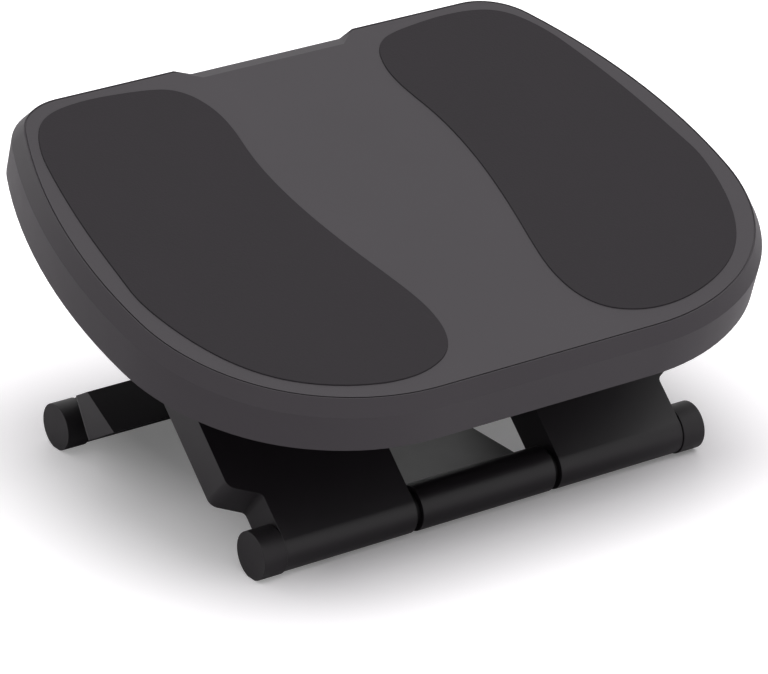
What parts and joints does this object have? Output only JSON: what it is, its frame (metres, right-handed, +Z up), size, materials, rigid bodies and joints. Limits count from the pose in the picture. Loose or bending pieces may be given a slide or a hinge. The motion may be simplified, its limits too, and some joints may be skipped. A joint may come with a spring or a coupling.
{
  "type": "tilting under desk footrest",
  "caption": "Free-standing footrest: a shallow moulded deck with two textured grip pads tilts on two crossed legs that swing on rubber-capped floor bars.",
  "frame": {"origin": "floor level, middle of the footprint", "axes": "+X across to the user's right, +Y from the user to the back, +Z up; the user sits on the -Y side"},
  "size_m": [0.4552, 0.3288, 0.2311],
  "materials": {
    "deck_plastic": "fine moulded texture",
    "leg_plastic": "fine moulded texture",
    "bracket_plastic": "satin",
    "pad_rubber": "fine grained",
    "cap_rubber": "matt",
    "bush_plastic": "satin",
    "rod_steel": "drawn",
    "zinc_steel": "zinc plated"
  },
  "bodies": {
    "base": {"base_link": "leg_plastic", "front_floor_axle": "rod_steel", "rear_floor_axle": "rod_steel", "front_left_end_cap": "cap_rubber", "front_right_end_cap": "cap_rubber", "rear_left_end_cap": "cap_rubber", "rear_right_end_cap": "cap_rubber", "front_spacer_rings": "bush_plastic", "rear_spacer_rings": "bush_plastic"},
    "front_leg": {"front_leg": "leg_plastic", "front_leg_bushes": "bush_plastic"},
    "rear_leg": {"rear_leg": "leg_plastic", "rear_leg_bushes": "bush_plastic"},
    "deck": {"deck_shell": "deck_plastic", "left_grip_pad": "pad_rubber", "right_grip_pad": "pad_rubber", "rear_left_bracket": "bracket_plastic", "rear_right_bracket": "bracket_plastic", "front_left_bracket": "bracket_plastic", "front_right_bracket": "bracket_plastic", "bracket_screws": "zinc_steel", "front_leg_pivot_rod": "rod_steel", "rear_leg_pivot_rod": "rod_steel", "front_leg_rod_push_nuts": "zinc_steel", "rear_leg_rod_push_nuts": "zinc_steel", "front_leg_friction_washers": "bush_plastic", "rear_leg_friction_washers": "bush_plastic"}
  },
  "joints": [
    {"name": "front_leg_swing", "type": "hinge", "parent": "base", "child": "front_leg", "pos_m": [0, -0.08595, 0.015], "axis": [1, 0, 0], "range_deg": [-15.04, 0]},
    {"name": "deck_tilt", "type": "hinge", "parent": "front_leg", "child": "deck", "pos_m": [0, 0.08587, 0.18257], "axis": [1, 0, 0], "range_deg": [-18.7, 0.05]},
    {"name": "rear_leg_swing", "type": "hinge", "parent": "base", "child": "rear_leg", "pos_m": [0, 0.13855, 0.015], "axis": [-1, 0, 0], "range_deg": [-0.05, 13.59]}
  ],
  "couplings": [
    {"joint": "deck_tilt", "follows": "front_leg_swing", "ratio": 1.24},
    {"joint": "rear_leg_swing", "follows": "front_leg_swing", "ratio": -0.9005}
  ]
}
